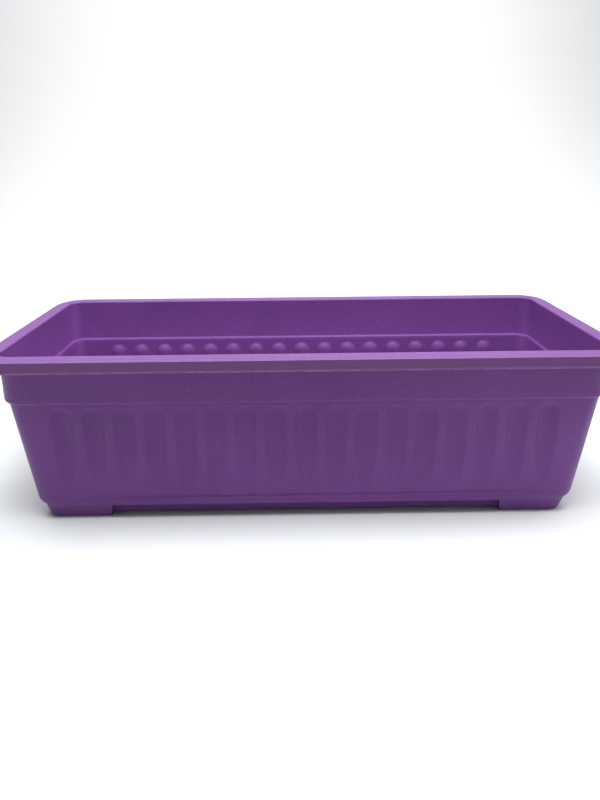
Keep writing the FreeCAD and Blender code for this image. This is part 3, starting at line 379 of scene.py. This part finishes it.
def fluted_levels(scoop):
    """Levels of the rows down the flutes: close over the domes, few over the straights, wider below."""
    dome = STEP_LEVEL - FLUTE_DROP
    tail = dome - FLUTE_STRAIGHT
    return [
        *np.arange(dome + DOME_REACH, dome, -scoop.dome_row),
        *np.linspace(dome, tail, 3),
        *np.arange(tail - scoop.tail_row, RUN_OUT_LEVEL, -scoop.tail_row),
    ]


def wall_rows(profile, levels):
    """The profile's (inset, level, corner) points as plain rows, and fluted rows on its one long wall."""
    rows = []
    for a, b in zip(profile, profile[1:] + profile[:1]):
        rows.append((*a, False))
        for level in levels if b[1] < levels[-1] and a[1] > levels[0] else ():
            share = (a[1] - level) / (a[1] - b[1])
            rows.append((*(p + (q - p) * share for p, q in zip(a, b)), True))
    return rows


def shell(name, profile, scoop):
    """A closed solid swept round the trough through a profile, with the flutes' scoops pressed into it."""
    spots, faces, loops = [], [], []
    for inset, level, corner, fluted in wall_rows(softened(profile), fluted_levels(scoop)):
        loop, normals = outline(inset, corner, scoop.samples if fluted else 0)
        if fluted:
            loop = loop - normals * flute_sink(loop, normals, level, scoop)[:, None]
        bends = np.flatnonzero(~on_side(normals, 0) & ~on_side(normals, 1))
        loops.append((len(spots), len(loop), bends))
        spots += [(x, y, level) for x, y in loop]
    for upper, lower in zip(loops, loops[1:]):
        faces += band(upper, lower)
    faces.append(tuple(range(loops[0][1])))
    faces.append(tuple(loops[-1][0] + j for j in reversed(range(loops[-1][1]))))
    return solid(name, np.array(spots) * MM, faces)


def band(upper, lower):
    """Faces between two loops of (first point, count, corner points): wide ones where their counts differ."""
    (above, many, bends), (below, few, others) = upper, lower
    faces = []
    if many == few:
        for j in range(many):
            following = (j + 1) % many
            faces.append((above + j, below + j, below + following, above + following))
        return faces
    for (a0, a1), (b0, b1) in zip(steps(bends, many), steps(others, few)):
        top = [above + j % many for j in range(a0, a1 + 1)]
        foot = [below + j % few for j in range(b0, b1 + 1)]
        faces.append(tuple(reversed(top)) + tuple(foot))
    return faces


def steps(marks, count):
    """Runs of points from each marked corner point to the next, round a loop."""
    return list(zip(marks, [*marks[1:], marks[0] + count]))


# ---------------------------------------------------------------- solids and cuts


def solid(name, spots, faces):
    """A mesh object from points in metres and faces."""
    mesh = bpy.data.meshes.new(name)
    mesh.from_pydata([tuple(p) for p in spots], [], faces)
    thing = bpy.data.objects.new(name, mesh)
    scene.collection.objects.link(thing)
    return thing


def prism(name, profile, start, end, upright=False):
    """A block with a profile of (x, z) pushed along Y, or of (x, y) pushed up."""
    count = len(profile)
    ends = [[(a, b, d) if upright else (a, d, b) for a, b in profile] for d in (start, end)]
    faces = [(i, (i + 1) % count, count + (i + 1) % count, count + i) for i in range(count)]
    faces += [tuple(reversed(range(count))), tuple(range(count, 2 * count))]
    if not upright:
        faces = [tuple(reversed(face)) for face in faces]
    return solid(name, np.array(ends[0] + ends[1]) * MM, faces)


def slab(name, half_length, half_width, start, end):
    """An upright block with its middle over the trough's."""
    x, y = half_length, half_width
    return prism(name, [(-x, -y), (x, -y), (x, y), (-x, y)], start, end, upright=True)


def disc(name, radius, start, end):
    """An upright cylinder on the drain's axis."""
    turns = [2 * pi * i / DISC_SIDES for i in range(DISC_SIDES)]
    ring = [(DRAIN_X + radius * cos(turn), radius * sin(turn)) for turn in turns]
    return prism(name, ring, start, end, upright=True)


def foot_gap_tools(prefix, row, grow):
    """The gaps between the feet, front and rear, as blocks."""
    low, high, top = FOOT_GAP_HALF + grow, FOOT_GAP_HEAD_HALF + grow, FOOT_GAP_HEIGHT + grow
    far = WIDTH / 2 + PAST_EDGE
    gap = [(-low, UNDER_LEVEL), (low, UNDER_LEVEL), (low, 0.0), (high, top), (-high, top), (-low, 0.0)]
    return [prism(f"{prefix}_front", gap, -far, -row), prism(f"{prefix}_rear", gap, row, far)]


def cut(thing, tools):
    """Takes the tools away from thing and leaves one plain mesh."""
    for tool in tools:
        modifier = thing.modifiers.new(tool.name, "BOOLEAN")
        modifier.operation, modifier.solver, modifier.object = "DIFFERENCE", "MANIFOLD", tool
    bpy.context.view_layer.update()
    view = thing.evaluated_get(bpy.context.evaluated_depsgraph_get())
    thing.data = bpy.data.meshes.new_from_object(view)
    thing.modifiers.clear()
    for tool in tools:
        bpy.data.objects.remove(tool)


# ---------------------------------------------------------------- trough


ROUND_LEVEL = CREASE_LEVEL + BOTTOM_ROUND * sin(BOTTOM_END)
ROUND_HEAD_LEVEL = ROUND_LEVEL - BOTTOM_ROUND * sin(TAPER)
ROUND_INSET = (
    WALL_HEAD_INSET + (WALL_HEAD_LEVEL - ROUND_HEAD_LEVEL) * tan(TAPER) + BOTTOM_ROUND * cos(TAPER)
)
CREASE_INSET = ROUND_INSET - BOTTOM_ROUND * cos(BOTTOM_END)


def bottom_arc(radius, head_corner, foot_corner):
    """The wall's rounded bottom edge, from the wall down to the crease above the feet."""
    arc = []
    for step in range(BOTTOM_STEPS + 1):
        share = step / BOTTOM_STEPS
        angle = TAPER + (BOTTOM_END - TAPER) * share
        corner = head_corner + (foot_corner - head_corner) * share
        arc.append((ROUND_INSET - radius * cos(angle), ROUND_LEVEL - radius * sin(angle), 0.0, corner))
    return arc


def rim_rings():
    """Fine grooves round the top of the rim, which falls towards its outer edge."""
    rows = []
    for ring in RING_INSETS:
        crown, corner = HEIGHT - max(0.0, CROWN_INSET - ring) * CROWN_SLOPE, RIM_CORNER - ring
        rows += [
            (ring + RING_HALF_WIDTH, crown, 0.2, corner),
            (ring, crown - RING_DEPTH, 0.15, corner),
            (ring - RING_HALF_WIDTH, crown - 0.03, 0.2, corner),
        ]
    return rows


def outside_profile():
    """The trough's outside, from the rim's top over the lip and down the wall to the feet."""
    cap_inset, flat_inset, foot_lap = 19.0, 13.5, 8.0
    lip_corner, lip_back_corner = RIM_CORNER - LIP_INSET, RIM_CORNER - LIP_THICKNESS
    foot_inset = CREASE_INSET + CREASE_LEVEL * FOOT_SLOPE
    return [
        (cap_inset, HEIGHT, 0.0, 12.0),
        (flat_inset, HEIGHT, 0.0, RIM_CORNER - flat_inset),
        *rim_rings(),
        (LIP_INSET, HEIGHT - LIP_HEAD_DROP, 0.8, lip_corner),
        (LIP_INSET - 0.05, BEAD_HEAD_LEVEL, 0.4, lip_corner),
        (0.0, BEAD_LEVEL, 0.4, RIM_CORNER),
        (0.0, LIP_FOOT, 0.5, RIM_CORNER),
        (LIP_THICKNESS, LIP_FOOT, 0.5, lip_back_corner),
        (LIP_THICKNESS, HEIGHT - RIM_THICKNESS, 0.8, lip_back_corner),
        (COLLAR_INSET, HEIGHT - RIM_THICKNESS, 1.5, COLLAR_CORNER),
        (STEP_INSET, STEP_LEVEL, 2.2, COLLAR_CORNER),
        (WALL_HEAD_INSET, WALL_HEAD_LEVEL, 0.8, 17.5),
        *bottom_arc(BOTTOM_ROUND, COLLAR_CORNER, 18.0),
        (foot_inset, 0.0, 0.7, 14.0),
        (foot_inset + foot_lap, 0.0, 0.0, 12.0),
    ]


def inside_profile():
    """The trough's hollow, from above the rim through its mouth and over the ledge down to the floor."""
    over_rim, crease_lift, floor_lap = 2.0, 1.0, 10.0
    edge_corner = MOUTH_CORNER + MOUTH_ROUND
    mouth = []
    for degrees in range(75, -1, -15):
        out, up = MOUTH_ROUND * cos(radians(degrees)), MOUTH_ROUND * sin(radians(degrees))
        mouth.append((MOUTH_INSET + out, HEIGHT - MOUTH_ROUND + up, 0.0, edge_corner - out))
    wall_inset = WALL_HEAD_INSET + WALL / cos(TAPER) - WALL * tan(TAPER)
    floor_inset = CREASE_INSET + WALL + (CREASE_LEVEL + crease_lift - FLOOR_LEVEL) * FOOT_SLOPE
    return [
        (MOUTH_INSET, HEIGHT + over_rim, 0.0, edge_corner),
        (MOUTH_INSET, HEIGHT, 0.0, edge_corner),
        *mouth,
        (LEDGE_INSET, LEDGE_LEVEL, 0.45, MOUTH_CORNER),
        (wall_inset, LEDGE_FOOT_LEVEL, 0.45, MOUTH_CORNER - 1.0),
        *bottom_arc(BOTTOM_ROUND - WALL, 15.0, 15.0),
        (floor_inset, FLOOR_LEVEL, 2.0, 11.6),
        (floor_inset + floor_lap, FLOOR_LEVEL, 0.0, 9.0),
    ]


def make_trough_moulding():
    """The trough as one moulding with softly blended flutes, fine rings on the rim and a bead on its lip."""
    row = WIDTH / 2 - CREASE_INSET - FOOT_GAP_INSET
    outer = shell("trough_outside", outside_profile(), OUTER_SCOOP)
    cut(outer, foot_gap_tools("gap", row, 0.0))
    cut(outer, [slab("belly", FOOT_GAP_HALF, WIDTH / 2 + PAST_EDGE, UNDER_LEVEL, BELLY_LEVEL)])
    cut(outer, [slab("ends", LENGTH / 2 + PAST_EDGE, END_GAP_HALF, UNDER_LEVEL, BELLY_LEVEL)])
    cut(outer, [disc("dimple", DIMPLE_RADIUS, UNDER_LEVEL, DIMPLE_LEVEL)])
    cut(outer, [disc("drain", DRAIN_RADIUS, UNDER_LEVEL, DRAIN_HEAD_LEVEL)])
    inner = shell("trough_inside", inside_profile(), INNER_SCOOP)
    cut(inner, foot_gap_tools("inner_gap", row - WALL, WALL))
    cut(inner, [disc("boss", BOSS_RADIUS, 0.0, BOSS_LEVEL)])
    cut(outer, [inner])
    outer.name = "trough_moulding"
    for face in outer.data.polygons:
        face.use_smooth = True
    outer.data.set_sharp_from_angle(angle=radians(40))
    outer.data.materials.clear()
    outer.data.materials.append(PURPLE)
    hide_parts("trough")
    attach(outer, "trough")


# ---------------------------------------------------------------- floor, light and camera, in metres


def make_backdrop():
    """A pale floor that sweeps up into a wall behind the object."""
    front, back, bend, top, half = -4.0, 1.6, 1.2, 4.0, 5.0
    line = [(front, 0.0), (back, 0.0)]
    line += [(back + bend * sin(radians(a)), bend * (1 - cos(radians(a)))) for a in range(6, 91, 6)]
    line.append((back + bend, top))
    spots = [(x, y, z) for y, z in line for x in (-half, half)]
    faces = [(2 * i, 2 * i + 1, 2 * i + 3, 2 * i + 2) for i in range(len(line) - 1)]
    n = Nodes("backdrop_paint")
    near = n.mix(n.ramp(n.noise(3.0), 0.3, 0.7), linear(196, 197, 198), linear(200, 201, 202))
    n.set(Base_Color=n.mix(n.ramp(n.axis("Y"), 0.4, 1.8), near, linear(250, 250, 251)), Roughness=0.9)
    floor = solid("backdrop", spots, faces)
    for face in floor.data.polygons:
        face.use_smooth = True
    floor.data.materials.append(n.material)


def softbox(name, spot, target, size, power, colour=(1.0, 1.0, 1.0)):
    """A rectangular light that faces its target, with its power in watts."""
    data = bpy.data.lights.new(name, "AREA")
    data.shape, data.size, data.size_y = "RECTANGLE", *size
    data.energy, data.color = power, colour
    lamp = bpy.data.objects.new(name, data)
    lamp.location = spot
    lamp.rotation_mode = "QUATERNION"
    lamp.rotation_quaternion = (Vector(target) - Vector(spot)).to_track_quat("-Z", "Y")
    scene.collection.objects.link(lamp)


def make_lights():
    """Broad light from above, weak light from both sides and a window on the right, and a lit backdrop."""
    planter, front_wall, cool = (0.0, 0.0, 0.1), (0.0, -0.1, 0.1), (0.97, 1.0, 1.01)
    softbox("overhead", (0.0, -0.3, 1.9), planter, (2.4, 0.9), 76.0, cool)
    softbox("key", (0.0, -0.6, 1.5), planter, (0.4, 0.4), 7.5, cool)
    softbox("left", (-1.5, -0.9, 0.8), front_wall, (0.7, 0.9), 3.0)
    softbox("right", (1.5, -0.9, 0.8), front_wall, (0.7, 0.9), 3.0)
    softbox("window", (1.9, 0.0, 1.3), planter, (1.0, 1.0), 16.0)
    softbox("backdrop", (0.0, 0.6, 2.6), (0.0, 2.6, 0.5), (3.2, 1.0), 45.0)


def make_world():
    """A faint even light from all round."""
    world = bpy.data.worlds.new("studio")
    world.use_nodes = True
    background = next(n for n in world.node_tree.nodes if n.type == "BACKGROUND")
    background.inputs["Color"].default_value = linear(250, 251, 253)
    background.inputs["Strength"].default_value = 0.08
    scene.world = world


def make_camera():
    """The photograph's viewpoint: in front of the middle, above the rim, looking slightly down."""
    place = (-0.01398, -0.5811, 0.3543)
    yaw, pitch, roll = -0.008, 0.121, -0.009
    right, upright = Vector((cos(yaw), sin(yaw), 0)), Vector((0, 0, 1))
    level = Vector((-sin(yaw), cos(yaw), 0))
    ahead = level * cos(pitch) - upright * sin(pitch)
    up = level * sin(pitch) + upright * cos(pitch)
    side = right * cos(roll) + up * sin(roll)
    top = up * cos(roll) - right * sin(roll)
    data = bpy.data.cameras.new("camera")
    data.sensor_width, data.lens = 36.0, 24.9705
    data.shift_x, data.shift_y = 0.008125, -0.222125
    data.clip_start, data.clip_end = 0.05, 50.0
    camera = bpy.data.objects.new("camera", data)
    turned = Matrix((side, top, -ahead)).transposed().to_4x4()
    camera.matrix_world = Matrix.Translation(place) @ turned
    scene.collection.objects.link(camera)
    scene.camera = camera


make_trough_moulding()
make_backdrop()
make_lights()
make_world()
scene.view_settings.view_transform = "Standard"
make_camera()
